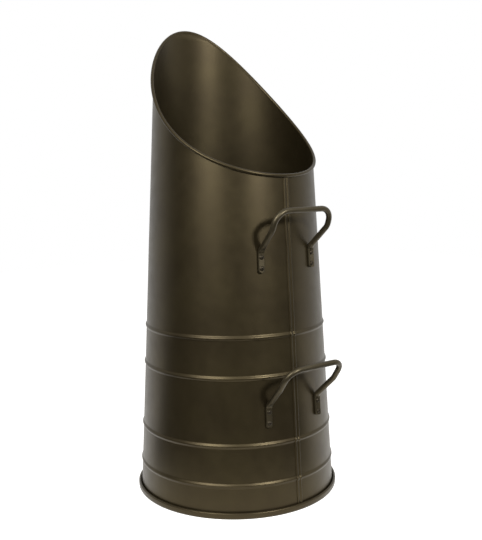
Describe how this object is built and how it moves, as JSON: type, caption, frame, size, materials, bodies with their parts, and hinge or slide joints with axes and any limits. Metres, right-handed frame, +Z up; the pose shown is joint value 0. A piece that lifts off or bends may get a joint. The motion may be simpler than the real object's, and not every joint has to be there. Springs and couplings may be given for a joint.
{
  "type": "hearth bucket",
  "caption": "Tall tapered sheet-steel coal and ash bucket with a slanted pouring mouth, swaged ribs and two riveted carrying handles on the low side",
  "frame": {"origin": "middle of the base's flat underside, where it stands on the floor", "axes": "+Z up; -Y towards the low side of the mouth, the side seam and both handles; +Y towards the tall pouring lip; +X to the right when looking along +Y"},
  "size_m": [0.2284, 0.2553, 0.5209],
  "materials": {
    "body_paint": "satin dark bronze paint",
    "base_paint": "satin dark bronze paint",
    "handle_paint": "satin dark bronze paint",
    "rivet_paint": "satin dark bronze paint",
    "wire_steel": "plain drawn wire",
    "pin_steel": "plain steel"
  },
  "bodies": {
    "root": {"body_shell": "body_paint", "rim_wire": "wire_steel", "base_plate": "base_paint", "upper_handle": "handle_paint", "lower_handle": "handle_paint", "upper_left_top_rivet": "rivet_paint", "upper_left_top_rivet_pin": "pin_steel", "upper_left_bottom_rivet": "rivet_paint", "upper_left_bottom_rivet_pin": "pin_steel", "upper_right_top_rivet": "rivet_paint", "upper_right_top_rivet_pin": "pin_steel", "upper_right_bottom_rivet": "rivet_paint", "upper_right_bottom_rivet_pin": "pin_steel", "lower_left_top_rivet": "rivet_paint", "lower_left_top_rivet_pin": "pin_steel", "lower_left_bottom_rivet": "rivet_paint", "lower_left_bottom_rivet_pin": "pin_steel", "lower_right_top_rivet": "rivet_paint", "lower_right_top_rivet_pin": "pin_steel", "lower_right_bottom_rivet": "rivet_paint", "lower_right_bottom_rivet_pin": "pin_steel"}
  },
  "joints": []
}
